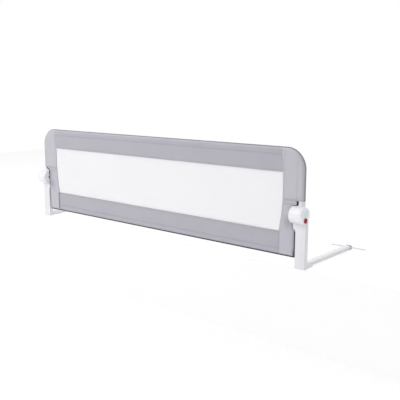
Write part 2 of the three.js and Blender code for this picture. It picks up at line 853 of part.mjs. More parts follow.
// The foot: a base under the post, a spigot up into it and the socket for the arm behind it
function foot() {
  const slot = seatGap * 2;
  const base = (inset, z) => rectRing(
    postInside + inset,
    postOutside - inset,
    inset - postBack,
    postBack - inset,
    postCorner,
    z,
  );
  const socket = (inset, z) => rectRing(
    postMiddle - armSocketHalf + inset,
    postMiddle + armSocketHalf - inset,
    postBack + seatGap,
    armSocketBack - inset,
    armSocketCorner,
    z,
  );
  const tongueHalf = armSocketHalf - tongueInset;
  const tongue = (z) => rectRing(
    postMiddle - tongueHalf,
    postMiddle + tongueHalf,
    0,
    postBack + tongueLength,
    armSocketCorner,
    z,
  );
  return cut(
    join(
      skin([base(footChamfer, 0), base(0, footChamfer), base(0, footHeight)], false),
      skin([
        socket(footChamfer, 0),
        socket(0, footChamfer),
        socket(0, armSocketTop - footChamfer),
        socket(footChamfer, armSocketTop),
      ], false),
      skin([tongue(0), tongue(footHeight - footChamfer)], false),
      postBlock(
        hollowWidth - slot,
        hollowDepth - slot,
        postCorner / 2,
        footHeight - footChamfer,
        footScrewZ + spigotTop,
      ),
    ),
    alongY(
      oval(armWidth + slot, armHeight + slot, postMiddle, armMiddle),
      armStart - seatGap,
      armSocketBack + overrun,
    ),
    bar('z', snapDiameter / 2 + seatGap, armMiddle, armSocketTop + overrun, [postMiddle, snapY, 0]),
    bar('y', screwDiameter / 2 + seatGap, 0, postBack, [postMiddle, 0, footScrewZ]),
  );
}

function arm() {
  const bore = oval(armWidth - 2 * armWall, armHeight - 2 * armWall, postMiddle, armMiddle);
  return cut(
    alongY(oval(armWidth, armHeight, postMiddle, armMiddle), armStart, armEnd),
    alongY(bore, armStart - overrun, armEnd + overrun),
    bar('z', snapDiameter / 2 + seatGap, armMiddle, armTop + overrun, [postMiddle, snapY, 0]),
  );
}

// The plug in the end of the arm: it stands on the floor and holds the cross bar.
function armPlug() {
  const fit = 2 * (armWall + seatGap);
  const face = armEnd + seatGap;
  const half = armWidth / 2 + overrun;
  return cut(
    join(
      alongY(oval(armWidth - fit, armHeight - fit, postMiddle, armMiddle), armEnd - plugInsert, face + overrun),
      alongY(oval(armWidth, armTop, postMiddle, armTop / 2), face, armEnd + plugLength),
    ),
    bar('x', barDiameter / 2 + seatGap, postMiddle - half, postMiddle + half, [0, armReach, barRise]),
  );
}

function crossBar() {
  const radius = barDiameter / 2;
  const half = barLength / 2;
  return turned([
    [0, -half],
    ...rim(radius, -half, radius / 2, -1).reverse(),
    ...rim(radius, half, radius / 2, 1),
    [0, half],
  ], pinSides, 'x');
}

// The snap button stands up through the arm and its socket.
function snapButton() {
  const radius = snapDiameter / 2;
  const top = armSocketTop + snapProud;
  return turned([
    [0, snapSeat - snapFlangeHeight],
    [radius + snapFlange, snapSeat - snapFlangeHeight],
    [radius + snapFlange, snapSeat],
    [radius, snapSeat],
    ...rim(radius, top, snapProud, 1),
    [0, top],
  ], pinSides, 'z');
}

// The leaf spring under the snap button: a folded strip from the button back down to the floor of the arm
function snapSpring() {
  const top = snapSeat - snapFlangeHeight - seatGap;
  const floor = armRise + armWall + seatGap;
  const foldZ = (top + floor) / 2;
  return alongX(outline([
    [-leafTail, top],
    [-leafTail, top - leafThickness],
    [leafLength - 2 * leafThickness, foldZ],
    [-leafTail, floor + leafThickness],
    [-leafTail, floor],
    [leafLength, foldZ - leafThickness / 2],
    [leafLength, foldZ + leafThickness / 2],
  ]), -leafWidth / 2, leafWidth / 2);
}

const rail = new THREE.Group();

// The reach from the front of the drums to the ends of the arms is centred on Y = 0.
const frame = new THREE.Group();
frame.position.y = (hingeForward + drumRadius - armReach - plugOverhang) / 2;
rail.add(frame);

function place(parent, name, geometry, material, [x, y, z] = [0, 0, 0]) {
  const mesh = new THREE.Mesh(geometry, material);
  mesh.name = name;
  mesh.position.set(x, y, z);
  parent.add(mesh);
}

const pipingTop = bossBottom - pipingStop;
place(frame, 'upper_cross_tube', surface(crossTube(joinX - seatGap, upperZ)), whitePaint);
place(frame, 'lower_cross_tube', surface(crossTube(lowerX - elbowLeg - seatGap, lowerZ)), whitePaint);
place(frame, 'upper_cover', surface(upperCover()), greyCloth);
place(frame, 'lower_cover', surface(lowerCover()), greyCloth);
place(frame, 'upper_mesh', surface(upperMesh()), whiteMesh);
place(frame, 'lower_mesh', surface(lowerMesh()), whiteMesh);
place(frame, 'upper_piping', surface(piping(upperPath(pipingOffset, sleeveBottom))), darkPiping);
place(frame, 'lower_piping', surface(piping(lowerPath(pipingOffset, pipingTop))), darkPiping);

// The pieces of an end are made once. Each has its place from the middle of the upright tube.
const hingePlace = [0, -hingeForward, hingeHeight];
const lockPlace = [0, -hingeForward, hingeHeight - lockDrop];
const socketScrewY = socketRadius - screwSink + seatGap;
const socketScrewPlace = [0, socketScrewY, hingeHeight + socketScrewRise];
const footScrewPlace = [postMiddle, postBack + seatGap, footScrewZ];
const endPieces = [
  ['corner_tube', cornerTube(), whitePaint, [-upperX, 0, 0]],
  ['side_tube', sideTube(), whitePaint],
  ['elbow', elbow(), greyPlastic, [-upperX, 0, 0]],
  ['post', post(), whitePlastic],
  ['rotor', rotor(), whitePlastic, hingePlace],
  ['hinge_bolt', hingeBolt(), zincSteel, hingePlace],
  ['hinge_nut', hingeNut(), zincSteel, hingePlace],
  ['lock_pin', lockPin(), zincSteel, lockPlace],
  ['button', button(), redPlastic, lockPlace],
  ['button_spring', buttonSpring(), zincSteel, lockPlace],
  ['end_cap', endCap(), palePlastic, hingePlace],
  ['socket_screw', screw(socketScrewY - boreRadius + seatGap), zincSteel, socketScrewPlace],
  ['foot', foot(), whitePlastic],
  ['foot_screw', screw(postWall + seatGap + screwBite), zincSteel, footScrewPlace],
  ['arm', arm(), whitePaint],
  ['arm_plug', armPlug(), greyPlastic],
  ['cross_bar', crossBar(), whitePaint, [postMiddle, armReach, barRise]],
  ['snap_button', snapButton(), zincSteel, [postMiddle, snapY, 0]],
  ['snap_spring', snapSpring(), zincSteel, [postMiddle, snapY, 0]],
];

for (const [side, way] of [['right', 1], ['left', -1]]) {
  const end = new THREE.Group();
  end.position.x = way * upperX;
  frame.add(end);
  for (const [name, body, material, [x, y, z] = [0, 0, 0]] of endPieces) {
    const geometry = way > 0 ? surface(body) : mirrored(surface(body));
    place(end, `${name}_${side}`, geometry, material, [way * x, y, z]);
  }
}

export default rail;
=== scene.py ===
"""Looks of a folding bed guard rail, built round its fixed frame.

The cloth, net and piping are surfaces worked out with numpy. The moulded and metal pieces keep their frame shapes
and get rounded edges and their own materials. Lengths are in metres, with +Z up and +X along the rail.
"""
import math

import bmesh
import bpy
import numpy as np
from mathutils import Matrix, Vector


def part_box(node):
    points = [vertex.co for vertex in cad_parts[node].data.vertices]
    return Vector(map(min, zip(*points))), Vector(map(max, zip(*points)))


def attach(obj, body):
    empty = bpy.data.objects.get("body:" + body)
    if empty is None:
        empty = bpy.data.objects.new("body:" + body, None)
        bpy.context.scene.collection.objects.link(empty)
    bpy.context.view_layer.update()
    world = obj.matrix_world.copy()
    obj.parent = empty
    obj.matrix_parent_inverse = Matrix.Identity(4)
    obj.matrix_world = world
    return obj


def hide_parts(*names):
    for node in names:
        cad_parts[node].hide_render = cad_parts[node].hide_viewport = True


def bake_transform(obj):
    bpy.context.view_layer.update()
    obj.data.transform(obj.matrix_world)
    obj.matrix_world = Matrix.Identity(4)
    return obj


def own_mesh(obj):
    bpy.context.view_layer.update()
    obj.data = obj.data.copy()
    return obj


bl_info = {
    "name": "Folding bed guard rail",
    "version": (1, 0, 0),
    "blender": (4, 5, 0),
    "location": "View3D > Sidebar > Bed Rail",
    "description": "Builds the cloth, net, piping, housings and arms of a folding bed guard rail",
    "category": "Add Mesh",
}

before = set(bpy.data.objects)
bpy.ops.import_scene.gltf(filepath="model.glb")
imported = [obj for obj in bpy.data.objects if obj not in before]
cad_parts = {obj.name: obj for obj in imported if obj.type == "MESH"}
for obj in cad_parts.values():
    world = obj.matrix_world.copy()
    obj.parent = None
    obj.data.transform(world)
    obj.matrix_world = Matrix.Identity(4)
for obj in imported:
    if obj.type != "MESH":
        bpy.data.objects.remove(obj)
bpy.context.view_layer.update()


def middle(node, axis):
    """Middle of a frame node along one axis."""
    low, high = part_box(node)
    return (low[axis] + high[axis]) / 2


SIDES = (("right", 1.0), ("left", -1.0))
RAIL_Y = middle("upper_cross_tube", 1)
UPPER_Z = middle("upper_cross_tube", 2)
TUBE_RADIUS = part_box("upper_cross_tube")[1].z - UPPER_Z
UPPER_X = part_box("corner_tube_right")[1].x - TUBE_RADIUS
LOWER_X = middle("side_tube_right", 0)
LOWER_Z = middle("lower_cross_tube", 2)
HINGE_Y = middle("hinge_bolt_right", 1)
HINGE_Z = middle("hinge_bolt_right", 2)
SLEEVE_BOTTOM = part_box("rotor_right")[1].z + 0.0003
SLEEVE_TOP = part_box("side_tube_right")[1].z - 0.0387
CLOTH_EDGE_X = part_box("post_right")[0].x + 0.0182
DRUM_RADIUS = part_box("end_cap_right")[1].z - HINGE_Z
DRUM_TOP = HINGE_Z + DRUM_RADIUS + 0.0022
HEM_X = UPPER_X - 0.0095
FEET_FRONT_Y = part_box("foot_right")[0].y
TIGHT_X = 0.690  # further out, the cloth lies tight over the posts
CLOTH_STEP = 0.0035  # distance between the rings of a side cloth
STITCH_IN = 0.006  # the window hem's stitches lie this far from its edge
FAR = 1.0  # a distance past the reach of every seam
NET_LAP = 0.010  # the net runs on this far behind the cloth
NET_Y = -0.0087  # front of the net, before the tubes' centre line
NET_SAG = 0.0008  # half the height of the net's soft waves
NET_THICK = 0.0005
FOLD_REACH = 0.004  # the net lies flat, with close rows, this far above and below the hinge's axis
# the thick, forward part of the cut-out's dark cord stands in for the shadow in the gap beside the socket
BINDING_FORWARD = 0.0026  # the cut-out's cord before the cloth, where it is thick
LOWER_PIPING_OUT = 0.0008  # the lower piping stands out this much further
LOWER_PIPING_BEND = 0.003
COIL_WIRE, COIL_TURNS = 0.0004, 4  # radius of the wire
LEAF_THICK, LEAF_FOLD = 0.0006, 0.0012  # the strip, and the radius of its fold
THREAD_PITCH = 0.0011  # threads of the cloth as drawn
NET_PITCH = 0.002  # holes of the net as drawn
TWIST_PITCH = 0.0012  # threads of the corded edge as drawn
WAVE_SCALE = 2 * math.pi / 20  # a wave texture of this scale repeats once a metre
WHITE = (1.0, 1.0, 1.0, 1.0)


# ---- sizes and colours

def length(name, metres, words):
    """A length that a user can change."""
    return bpy.props.FloatProperty(name=name, description=words, default=metres, subtype="DISTANCE", unit="LENGTH")


class RailSizes(bpy.types.PropertyGroup):
    """Sizes of the soft pieces and of the edges of the hard ones."""

    sleeve_radius: length("Sleeve radius", 0.011, "Outside of the cloth sleeve round a tube")
    cloth_thickness: length("Cloth thickness", 0.0012, "Two layers of woven polyester")
    bend_radius: length("Bend radius", 0.064, "Centre line of the upper tube's bends")
    window_top: length("Window top", 0.344, "Height of the window's upper hem")
    window_bottom: length("Window bottom", 0.128, "Height of the window's lower hem")
    window_taper: length("Window taper", 0.245, "Height where the sides of the window turn upright")
    window_half_top: length("Window half width, top", 0.655, "Half the window's width at its top")
    window_half_bottom: length("Window half width, bottom", 0.640, "Half the window's width at its bottom")
    window_half_fold: length("Window half width, fold", 0.651, "Half the window's width at the fold")
    window_shift: length("Window shift", 0.0070, "How far the window sits to the right of the middle")
    seam_lean: length("Seam lean", 0.008, "How far the top band's seams lean to the left")
    hem_step: length("Hem step", 0.0009, "How far the cloth above the fold stands over the cloth below")
    piping_radius: length("Piping radius", 0.0027, "Half the thickness of the corded edge")
    lower_piping_radius: length("Lower piping radius", 0.0033, "The same for the lower half's corded edge")
    binding_radius: length("Binding radius", 0.0012, "Half the thickness of the cord round the cut-outs")
    piping_offset: length("Piping offset", 0.0116, "Piping outside the tubes' centre line")
    seam_depth: length("Seam depth", 0.0008, "How far the stitching pulls the cloth in")
    wrinkle_depth: length("Wrinkle depth", 0.0011, "Height of the soft wrinkles in the cloth")
    edge_round: length("Edge rounding", 0.0005, "Radius on the edges of moulded pieces")


def colour_property(name, code, words):
    """A colour that a user can change, from an sRGB hex value."""
    return bpy.props.FloatVectorProperty(
        name=name, description=words, subtype="COLOR", size=4, min=0.0, max=1.0, default=linear(code))


def linear(code):
    """Linear colour of an sRGB hex value such as 'BCBAC4': each channel by the sRGB transfer curve."""
    channels = np.array([int(code[i:i + 2], 16) for i in (0, 2, 4)]) / 255
    curve = np.where(channels <= 0.04045, channels / 12.92, ((channels + 0.055) / 1.055) ** 2.4)
    return (*curve.tolist(), 1.0)


class RailColours(bpy.types.PropertyGroup):
    """Colours of the cloth, net, piping, plastics and metal."""

    band_cloth: colour_property("Band cloth", "B2B0B9", "Cloth above and below the window")
    side_cloth: colour_property("Side cloth", "C0BFC6", "Cloth beside the window, above the fold")
    side_cloth_lower: colour_property("Side cloth, lower", "BFBEC7", "Cloth beside the window, below the fold")
    # colour towards which the painted shade in the seams, beside the piping and round the drum darkens the cloth
    seam: colour_property("Seam", "2A2930", "Stitching and the shade in the seams")
    net: colour_property("Net", "F4F4F6", "Net in the window")
    piping: colour_property("Piping", "92909A", "Corded edge of the upper half")
    # much darker than the upper piping: painted shade for the same cord along the lower edge, whose underside lies in
    # shadow
    lower_piping: colour_property("Lower piping", "2E2C34", "Corded edge of the lower half and of the cut-outs")
    post: colour_property("Post", "E4E4E8", "Posts, rotors and feet")
    cap: colour_property("Cap", "DCE8E8", "Middle of the hinge drums' end caps")
    cap_rim: colour_property("Cap rim", "F2F2F5", "Edge of the end caps")
    # whiter colour of the painted highlight on the hinge drums
    drum: colour_property("Drum", "F0F0F4", "Thick walls of the posts' hinge drums")
    button: colour_property("Button", "980C12", "Push buttons")
    arm: colour_property("Arm", "E0E0E5", "Tubes and arms")
    plug: colour_property("Plug", "8E8E96", "Elbows and the plugs of the arms")
    zinc: colour_property("Zinc", "B4B7BB", "Bolts, nuts, pins and springs")
    paper: colour_property("Paper", "FAFAFA", "Floor of the stage")


# ---- meshes

def ring_faces(rows, columns):
    """Quads between rings of points: each joins a point to the next one of its ring and to those of the next ring."""
    i, j = np.meshgrid(np.arange(rows - 1), np.arange(columns), indexing="ij")
    here, beside = i * columns + j, i * columns + (j + 1) % columns
    return np.stack([here, beside, beside + columns, here + columns], -1).reshape(-1, 4)


def placed(name, data):
    """A new object in the scene."""
    made = bpy.data.objects.new(name, data)
    bpy.context.scene.collection.objects.link(made)
    return made


def make_mesh(name, points, faces, body, made, uv=None, shade=None, sharp=None):
    """A new piece that rides on a body. Uv gives each point its place on the cloth, shade how much painted shade it
    carries in its seams, beside the piping and round the drum, and sharp the angle in degrees from which an edge is
    creased."""
    mesh = bpy.data.meshes.new(name)
    mesh.from_pydata(points.reshape(-1, 3).tolist(), [], faces)
    if uv is not None:
        layer = mesh.uv_layers.new(name="cloth")
        index = np.zeros(len(mesh.loops), np.int32)
        mesh.loops.foreach_get("vertex_index", index)
        layer.data.foreach_set("uv", uv.reshape(-1, 2)[index].astype(np.float32).ravel())
        dark = mesh.attributes.new("painted_shade", "FLOAT", "POINT")
        dark.data.foreach_set("value", np.zeros(len(mesh.vertices)) if shade is None else shade.ravel())
    mesh.validate()
    mesh.materials.append(made)
    piece = placed(name, mesh)
    tidy(piece)
    mesh.polygons.foreach_set("use_smooth", np.ones(len(mesh.polygons), bool))
    if sharp is not None:
        mesh.set_sharp_from_angle(angle=math.radians(sharp))
    if body:
        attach(piece, body)
    return piece


def tidy(piece):
    """Merges points that meet and turns every face outwards."""
    work = bmesh.new()
    work.from_mesh(piece.data)
    bmesh.ops.remove_doubles(work, verts=work.verts, dist=1e-6)
    bmesh.ops.dissolve_degenerate(work, edges=work.edges, dist=1e-7)
    bmesh.ops.recalc_face_normals(work, faces=work.faces)
    work.to_mesh(piece.data)
    work.free()


def closed_strip(sections):
    """Faces of rings carried along a path, with a flat cap on the first and on the last."""
    rows, columns = sections.shape[:2]
    cap = np.arange(columns)
    return [*ring_faces(rows, columns).tolist(), cap.tolist(), (cap[::-1] + (rows - 1) * columns).tolist()]


def ramp(x, low, high):
    """Smooth rise from 0 at low to 1 at high: 3t squared less 2t cubed of the clipped share t."""
    t = np.clip((x - low) / (high - low), 0.0, 1.0)
    return t * t * (3 - 2 * t)


def steps(line):
    """Lengths of a line's steps, from each point to the next."""
    return np.linalg.norm(np.diff(line, axis=0), axis=1)


def way_along(line):
    """Length of a line up to each of its points."""
    return np.concatenate([[0.0], np.cumsum(steps(line))])


# ---- cloth

def wrinkles(x, z):
    """Soft wrinkles, between -1 and 1: a sum of five long sine waves that lean a little, each weaker than the one
    before. A wave is given by its turns per metre along x and z and by where it starts."""
    waves = ((9.1, 3.3, 0.4), (17.3, -6.1, 1.9), (4.7, 21.0, 2.6), (29.0, 11.0, 4.0), (13.0, 33.0, 5.2))
    total = sum(np.sin(2 * math.pi * (a * x + b * z) + c) / (1 + 0.4 * k) for k, (a, b, c) in enumerate(waves))
    return total / 3.2


def groove(distance, width):
    """Valley of a seam: one at the stitches and falling off as a bell curve of the distance from them."""
    return np.exp(-(distance / width) ** 2)


def cloth_sections(outer, normal, inner, sleeve, sizes, flat_points=44, wrap_points=26):
    """Closed rings of a cloth strip. Each runs along the front from the inner edge to the outer line, round the tube
    or round its hem, and back behind. Front: inner + t (outer - inner), at the sleeve's front. Sleeve: a circle about
    the outer line, until it meets the cloth's back. Hem: half a circle as thick as the cloth. Also gives each point's
    place on the cloth, whether it is on the flat part, and its distance from the piping."""
    radius, thick = sizes.sleeve_radius, sizes.cloth_thickness
    count = len(outer)
    t = np.linspace(0, 1, flat_points)[None, :, None]
    start = inner[:, None, :]
    front_xz = start + (outer[:, None, :] - start) * t
    full = 2 * math.pi - math.acos((radius - thick) / radius)
    turn = np.linspace(0, full, wrap_points)[None, :]
    angle = np.where(sleeve[:, None], turn, np.minimum(turn, math.pi))
    reach = np.where(sleeve[:, None], radius, thick / 2)
    centre_y = np.where(sleeve[:, None], 0.0, thick / 2 - radius)
    wrap_y = centre_y - reach * np.cos(angle)
    wrap_xz = outer[:, None, :] + normal[:, None, :] * (reach * np.sin(angle))[..., None]
    back_xz = start + (wrap_xz[:, -1:, :] - start) * (1 - t)
    xz = np.concatenate([front_xz, wrap_xz[:, 1:], back_xz[:, 1:]], 1)
    y = np.concatenate([
        np.full((count, flat_points), -radius), wrap_y[:, 1:], np.full((count, flat_points - 1), thick - radius)], 1)
    wrapped = slice(flat_points, flat_points + wrap_points - 1)
    uv = xz.copy()
    uv[:, wrapped] = outer[:, None, :] + normal[:, None, :] * (angle * reach)[:, 1:, None]
    flat = np.ones_like(y)
    flat[:, wrapped] = 0.0
    to_piping = np.full_like(y, FAR)
    to_piping[:, wrapped] = np.where(sleeve[:, None], np.abs(angle - math.pi / 2) * radius, FAR)[:, 1:]
    return xz, y, uv, flat, to_piping


def dressed(name, outer, normal, inner, sleeve, seams, sizes, body, cloth):
    """A cloth strip with its wrinkles and seams. The front moves by wrinkles, calmer towards the edges, the fold and
    the posts. It sinks by a bell-shaped groove at each seam, stands out above the fold's hem and puckers there, at
    places 13 mm apart that drift. The painted shade in the grooves and round the drum goes into an attribute, with
    a painted dark band beside the piping, which is dark along the bottom and faint above it."""
    xz, y, uv, flat, to_piping = cloth_sections(outer, normal, inner, sleeve, sizes)
    x, z = xz[..., 0], xz[..., 1]
    to_line = np.linalg.norm(xz - outer[:, None, :], axis=-1)
    to_window = np.linalg.norm(xz - inner[:, None, :], axis=-1)
    calm = (ramp(to_line, 0.0, 0.020) * ramp(to_window, 0.008, 0.028) * ramp(TIGHT_X - np.abs(x), 0.0, 0.02)
            * ramp(np.abs(z - HINGE_Z), 0.006, 0.03))
    y = y + flat * calm * sizes.wrinkle_depth * wrinkles(x, z)
    # painted shade beside the piping: dark along the bottom, faint on the sides, a little darker at the top
    shade = groove(to_piping, 0.0075) * np.interp(
        z, [LOWER_Z, LOWER_Z + 0.025, UPPER_Z - 0.006, UPPER_Z], [0.85, 0.02, 0.02, 0.10])
    for distance, width, depth, dark in seams(x, z):
        y = y + flat * sizes.seam_depth * depth * groove(distance, width)
        shade = np.maximum(shade, dark * groove(distance, width * 1.3))
    above = z - SLEEVE_BOTTOM
    pucker = np.sin(2 * math.pi * x / 0.013 + 9 * np.sin(31 * x)) * groove(above - 0.004, 0.008)
    y = y - flat * ramp(to_line, 0.004, 0.02) * sizes.hem_step * (ramp(above, -0.001, 0.002) - 0.4 * pucker)
    points = np.stack([x, y + RAIL_Y, z], -1)
    return make_mesh(name, points, closed_strip(points), body, cloth, uv=uv, shade=shade, sharp=50)


def window_edge(z, sizes, shift=0.0):
    """Distance of the window's side from the middle at a height: straight from its bottom to the fold, to the end of
    its taper and to its top, and moved out by the shift."""
    return shift + np.interp(z, [sizes.window_bottom, HINGE_Z, sizes.window_taper],
                             [sizes.window_half_bottom, sizes.window_half_fold, sizes.window_half_top])


def hem_x(z, way):
    """Distance of the cut-out's edge from the middle at a height: close beside the drum, and out to the socket above
    it. The right-hand edge steps out at once, and the left-hand one on a long curve."""
    rise = (DRUM_TOP - 0.004, DRUM_TOP + 0.003) if way > 0 else (DRUM_TOP - 0.001, SLEEVE_BOTTOM)
    return CLOTH_EDGE_X + (HEM_X - CLOTH_EDGE_X) * ramp(z, *rise)


def bend_points(sizes, count=22):
    """The upper bend's centre line, a quarter circle from the upright to the cross tube, and its outward normals."""
    turn = np.linspace(0, math.pi / 2, count)
    normal = np.stack([np.cos(turn), np.sin(turn)], -1)
    centre = np.array([UPPER_X - sizes.bend_radius, UPPER_Z - sizes.bend_radius])
    return centre + sizes.bend_radius * normal, normal


def side_path(sizes, way):
    """Outer line, outward normal, inner line and sleeve flag of the side cloth, from the bottom seam to the top. X
    counts from the middle of the rail, so that the window's shift and the seam's lean change sign with the side."""
    shift, lean = way * sizes.window_shift, way * sizes.seam_lean
    half_bottom, half_top = sizes.window_half_bottom + shift, sizes.window_half_top + shift
    parts = []

    def run(start, end, normal, inner_start, inner_end):
        count = max(2, int(math.dist(start, end) / CLOTH_STEP) + 1)
        parts.append((np.linspace(start, end, count), np.tile(np.array(normal, float), (count, 1)),
                      np.linspace(inner_start, inner_end, count), np.full(count, True)))

    def heights(low, high):
        return np.linspace(low, high, max(2, int((high - low) / CLOTH_STEP) + 1))

    def upright(x, z, sleeve):
        parts.append((np.stack([np.full(len(z), x), z], -1), np.tile([1.0, 0.0], (len(z), 1)),
                      np.stack([window_edge(z, sizes, shift), z], -1), np.full(len(z), sleeve)))

    inner_corner = (half_bottom, LOWER_Z + 0.030)
    run((half_bottom, LOWER_Z), (LOWER_X, LOWER_Z), (0, -1), (half_bottom, LOWER_Z), inner_corner)
    parts[-1][1][-1] = (1, -1)
    run((LOWER_X, LOWER_Z + CLOTH_STEP), (LOWER_X, sizes.window_bottom), (1, 0),
        inner_corner, (half_bottom, sizes.window_bottom))
    upright(LOWER_X, heights(sizes.window_bottom + 0.002, SLEEVE_TOP), True)
    upright(CLOTH_EDGE_X, heights(SLEEVE_TOP, DRUM_TOP - 0.005), False)
    cutout = np.linspace(DRUM_TOP - 0.004, SLEEVE_BOTTOM, 14)
    upright(hem_x(cutout, way), cutout, False)
    upright(UPPER_X, heights(SLEEVE_BOTTOM, sizes.window_top - 0.002), True)
    bend, bend_normal = bend_points(sizes)
    last = np.linspace(bend[-1], (half_top - lean, UPPER_Z), 6)[1:]
    outer = np.concatenate([[(UPPER_X, sizes.window_top)], bend, last])
    normal = np.concatenate([[[1.0, 0.0]], bend_normal, np.tile([0.0, 1.0], (len(last), 1))])
    share = way_along(outer)
    share /= share[-1]
    inner = np.stack([half_top - lean * share, sizes.window_top + share * (UPPER_Z - sizes.window_top)], -1)
    parts.append((outer, normal, inner, np.full(len(outer), True)))
    return [np.concatenate(part) for part in zip(*parts)]


def side_seams_and_shade(sizes, way):
    """Distance, width, depth and painted shade of each of the side cloth's seams, in this order: the hem beside the
    window, the seams against the lower and the upper band, the stitching beside the upper and the lower sleeve, the
    fold's hem and the stitching below it. The last two are painted shade with no groove: the drum's shadow on the
    cloth below and beside it, and the shade on the cloth beside the drum above its axis."""
    shift = way * sizes.window_shift
    # the seam against the lower band has no groove: its dark line is painted shadow where the side cloth laps over
    # the band, darker at the left-hand end
    lower_band_shade = (0.0030, 0.0, 0.34) if way > 0 else (0.0050, 0.0, 1.0)

    def seams(x, z):
        x = np.abs(x)
        beside = x - window_edge(z, sizes, shift)
        lean = way * sizes.seam_lean * np.clip((z - sizes.window_top) / (UPPER_Z - sizes.window_top), 0, 1)
        # each row: distance from the seam, groove width, groove depth and the painted shade laid along it
        return (
            (beside - STITCH_IN, 0.0016, 1.0, 0.10),
            (np.where(z < sizes.window_bottom, beside, FAR), *lower_band_shade),
            (np.where(z > sizes.window_top, beside + lean, FAR), 0.0024, 0.6, 0.16),
            (np.where(z > SLEEVE_BOTTOM, x - (UPPER_X - 0.0135), FAR), 0.0016, 1.0, 0.08),
            (np.where(z < SLEEVE_TOP, x - (LOWER_X - 0.0005), FAR), 0.0016, 1.0, 0.08),
            (np.where(x < UPPER_X - 0.012, z - SLEEVE_BOTTOM - 0.001, FAR), 0.0035, 0.5, 0.20),
            (np.where(x < CLOTH_EDGE_X, z - SLEEVE_BOTTOM + 0.015, FAR), 0.0030, 0.6, 0.16),
            # painted shadow of the drum on the cloth below and beside it, with no groove
            (np.hypot(x - CLOTH_EDGE_X + 0.014, z - HINGE_Z + 0.031), 0.0170, 0.0, 0.30),
            # painted shade on the cloth beside the drum, above its axis, with no groove
            (np.hypot(x - CLOTH_EDGE_X, z - HINGE_Z - 0.020), 0.0120, 0.0, 0.20))
    return seams


def band_seams(line, edge, way):
    """Distance, width, depth and painted shade of a band's seams: its window hem and the stitching under its sleeve.
    """
    def seams(_, z):
        return (z - edge - way * STITCH_IN, 0.0016, 1.0, 0.08), (z - line + way * 0.0125, 0.0022, 0.9, 0.12)
    return seams


# ---- materials

def add(tree, kind, settings=None):
    """Adds a node. A setting is named by a socket's name or number or by one of the node's attributes. Where its
    value is another node's socket, the two are linked."""
    node = tree.nodes.new(kind)
    for key, value in (settings or {}).items():
        if isinstance(value, bpy.types.NodeSocket):
            tree.links.new(value, node.inputs[key])
        elif isinstance(key, int) or key in node.inputs:
            node.inputs[key].default_value = value
        else:
            setattr(node, key, value)
    return node


def blank(name):
    """A new material and its empty node tree."""
    made = bpy.data.materials.new(name)
    made.use_nodes = True
    made.node_tree.nodes.clear()
    return made, made.node_tree


def surfaced(made, sockets):
    """Ends a material with one Principled shader that has the given numbers and links."""
    shader = add(made.node_tree, "ShaderNodeBsdfPrincipled", sockets)
    add(made.node_tree, "ShaderNodeOutputMaterial", {"Surface": shader.outputs["BSDF"]})
    return made


def varied(tree, vector, colour, scale, share, detail=3.0, spread=0.2):
    """A colour that drifts: noise darkens it by up to the share, as it runs over the spread on both sides of 0.5."""
    noise = add(tree, "ShaderNodeTexNoise", {"Scale": scale, "Detail": detail, "Vector": vector})
    drift = add(tree, "ShaderNodeMapRange", {
        "From Min": 0.5 - spread, "From Max": 0.5 + spread, "To Min": 1 - share, "To Max": 1.0,
        "Value": noise.outputs["Fac"]})
    return add(tree, "ShaderNodeMix", {
        "data_type": "RGBA", "blend_type": "MULTIPLY", 0: 1.0, 6: colour, 7: drift.outputs["Result"]}).outputs[2]


def woven_polyester(name, colour, painted_shade_colour, lower=None):
    """Woven polyester, calendered: a plain weave. The eye sees an even matt cloth with a soft sheen at the edges and
    a few slubbed threads; the seams and the places round the drum get painted shade from an attribute. Real threads
    lie 0.4 mm apart and are drawn 1.1 mm apart, so that they show.
    The lower colour is that of the cloth below the fold's hem."""
    made, tree = blank(name)
    place = add(tree, "ShaderNodeUVMap", {"uv_map": "cloth"}).outputs["UV"]
    warp, weft = (add(tree, "ShaderNodeTexWave", {
        "Scale": WAVE_SCALE / THREAD_PITCH, "bands_direction": way, "Distortion": 0.4, "Vector": place})
        for way in ("X", "Y"))
    weave = add(tree, "ShaderNodeMath", {"operation": "MULTIPLY", 0: warp.outputs["Fac"], 1: weft.outputs["Fac"]})
    bump = add(tree, "ShaderNodeBump", {"Strength": 0.35, "Distance": 0.0003, "Height": weave.outputs["Value"]})
    if lower is not None:
        height = add(tree, "ShaderNodeSeparateXYZ", {"Vector": place})
        below = add(tree, "ShaderNodeMapRange", {
            "From Min": SLEEVE_BOTTOM - 0.002, "From Max": SLEEVE_BOTTOM + 0.001, "To Min": 1.0, "To Max": 0.0,
            "Value": height.outputs["Y"]})
        colour = add(tree, "ShaderNodeMix", {
            "data_type": "RGBA", 0: below.outputs["Result"], 6: colour, 7: lower}).outputs[2]
    slub = add(tree, "ShaderNodeMapping", {"Scale": (1.0, 14.0, 1.0), "Vector": place})
    cloth = varied(tree, place, colour, 9.0, 0.03)
    cloth = varied(tree, slub.outputs["Vector"], cloth, 22.0, 0.025, detail=2.0, spread=0.15)
    # painted shade: the attribute mixes the cloth towards the shade colour
    seam = add(tree, "ShaderNodeAttribute", {"attribute_name": "painted_shade"})
    sewn = add(tree, "ShaderNodeMix", {"data_type": "RGBA", 0: seam.outputs["Fac"], 6: cloth, 7: painted_shade_colour})
    return surfaced(made, {
        "Base Color": sewn.outputs[2], "Normal": bump.outputs["Normal"], "Roughness": 0.86, "IOR": 1.5,
        "Specular IOR Level": 0.3, "Sheen Weight": 0.24, "Sheen Roughness": 0.4})


